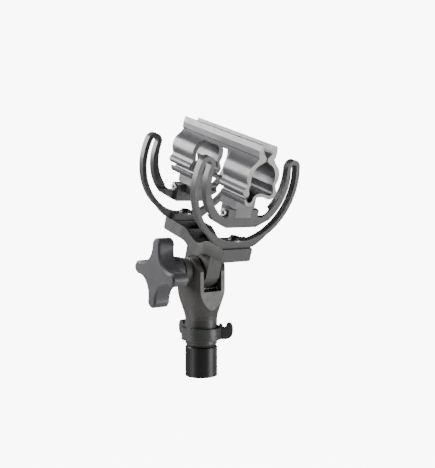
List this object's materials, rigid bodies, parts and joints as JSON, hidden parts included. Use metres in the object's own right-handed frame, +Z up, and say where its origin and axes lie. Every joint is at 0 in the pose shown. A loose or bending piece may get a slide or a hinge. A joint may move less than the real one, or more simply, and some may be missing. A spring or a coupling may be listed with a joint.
{
  "type": "boom pole microphone suspension head",
  "caption": "Tip of a boom pole with a tilting, knob-clamped knuckle that carries a base bar, flexible lyres and a sprung clip for a shotgun microphone.",
  "frame": {"origin": "centre of the pole tube's cut lower end", "axes": "+Z up along the pole, +X along the tilt axis away from the knob, -Y to the front of the clip"},
  "size_m": [0.0876, 0.1007, 0.1846],
  "materials": {
    "anodised_tube": "satin black anodised",
    "plug_alloy": "turned",
    "steel": "zinc plated",
    "black_rubber": "matt",
    "brass": "turned",
    "knuckle_plastic": "satin glass-filled nylon",
    "friction_disc": "matt",
    "knob_plastic": "satin",
    "ring_plastic": "satin",
    "bar_plastic": "satin glass-filled nylon",
    "lyre_polymer": "satin acetal",
    "black_steel": "black oxide",
    "bright_steel": "polished",
    "clip_plastic": "satin acetal"
  },
  "bodies": {
    "pole": {"pole_tube": "anodised_tube", "tip_plug": "plug_alloy", "tip_stud": "steel", "joint_washer": "black_rubber", "thread_bushing": "brass", "knuckle_fork": "knuckle_plastic", "friction_pads": "friction_disc", "clamp_bolt": "steel"},
    "washer": {"thrust_washer": "steel"},
    "knob": {"clamp_knob": "knob_plastic", "knob_insert": "brass"},
    "ring": {"cable_clip_ring": "ring_plastic"},
    "head": {"base_bar": "bar_plastic", "bar_inserts": "brass", "pivot_bush": "brass", "lyre_front": "lyre_polymer", "lyre_rear": "lyre_polymer", "lyre_screws": "black_steel", "lyre_washers": "bright_steel"},
    "cradle": {"clip_base": "clip_plastic", "foot_bolts": "steel", "foot_nuts": "steel"},
    "jaw": {"jaw_left": "clip_plastic"}
  },
  "joints": [
    {"name": "knob_turn", "type": "hinge", "parent": "washer", "child": "knob", "pos_m": [-0.03, 0, 0.0755], "axis": [-1, 0, 0], "range_deg": [0, 360]},
    {"name": "knob_travel", "type": "slide", "parent": "pole", "child": "washer", "axis": [-1, 0, 0], "range_m": [0, 0.001]},
    {"name": "ring_turn", "type": "hinge", "parent": "pole", "child": "ring", "pos_m": [0, 0, 0.031], "axis": [0, 0, 1], "continuous": true},
    {"name": "head_tilt", "type": "hinge", "parent": "pole", "child": "head", "pos_m": [0, 0, 0.0755], "axis": [1, 0, 0], "range_deg": [-87, 57]},
    {"name": "cradle_bounce", "type": "slide", "parent": "head", "child": "cradle", "axis": [0, -0.2974, 0.9548], "range_m": [-0.004, 0.004], "stiffness_N_per_m": 500, "springref_m": 0.0007, "deforming": ["lyre_front", "lyre_rear"]},
    {"name": "jaw_open", "type": "hinge", "parent": "cradle", "child": "jaw", "pos_m": [-0.0078, -0.01861, 0.13862], "axis": [0, -0.9548, -0.2974], "range_deg": [0, 22], "stiffness_Nm_per_rad": 0.6, "springref_deg": -5.73}
  ],
  "couplings": [
    {"joint": "knob_travel", "follows": "knob_turn", "m_per_rad": 0.00015915}
  ]
}
